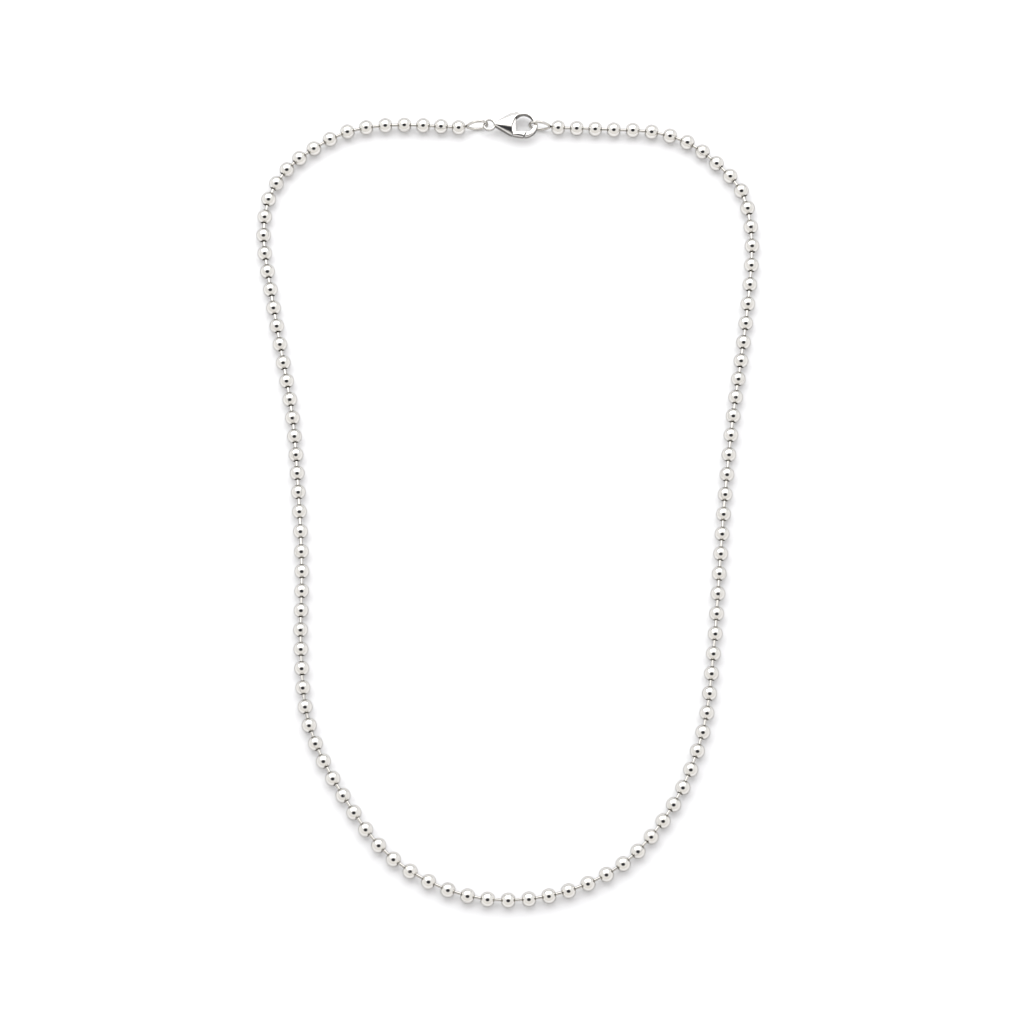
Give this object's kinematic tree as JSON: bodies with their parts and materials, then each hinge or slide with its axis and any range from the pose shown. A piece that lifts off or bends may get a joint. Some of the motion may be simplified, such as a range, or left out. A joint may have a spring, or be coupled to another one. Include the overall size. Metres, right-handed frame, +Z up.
{
  "type": "ball chain necklace",
  "caption": "Silver ball chain necklace laid out as a closed loop, with hollow balls on headed wires and a sprung lobster clasp between two wire end loops.",
  "frame": {"origin": "centre of the bounding box at the surface that the necklace lies on", "axes": "+X to the right across the loop, +Y along the loop towards the clasp, +Z up from the surface"},
  "size_m": [0.1124, 0.182, 0.0039],
  "materials": {
    "ball_silver": "mirror-polished silver plate on brass",
    "wire_silver": "bright drawn wire, silver-plated",
    "clasp_silver": "cast, tumbled and polished, silver-plated"
  },
  "bodies": {
    "root": {"balls": "ball_silver", "ball_links": "wire_silver", "end_loop_left": "wire_silver", "end_loop_right": "wire_silver", "clasp_body": "clasp_silver", "clasp_rivet": "clasp_silver"},
    "lever": {"clasp_lever": "clasp_silver"}
  },
  "joints": [
    {"name": "lever_hinge", "type": "hinge", "parent": "root", "child": "lever", "pos_m": [0.00025, 0.086, 0.00199], "axis": [0, 0, 1], "range_deg": [0, 14], "stiffness_Nm_per_rad": 0.01}
  ]
}
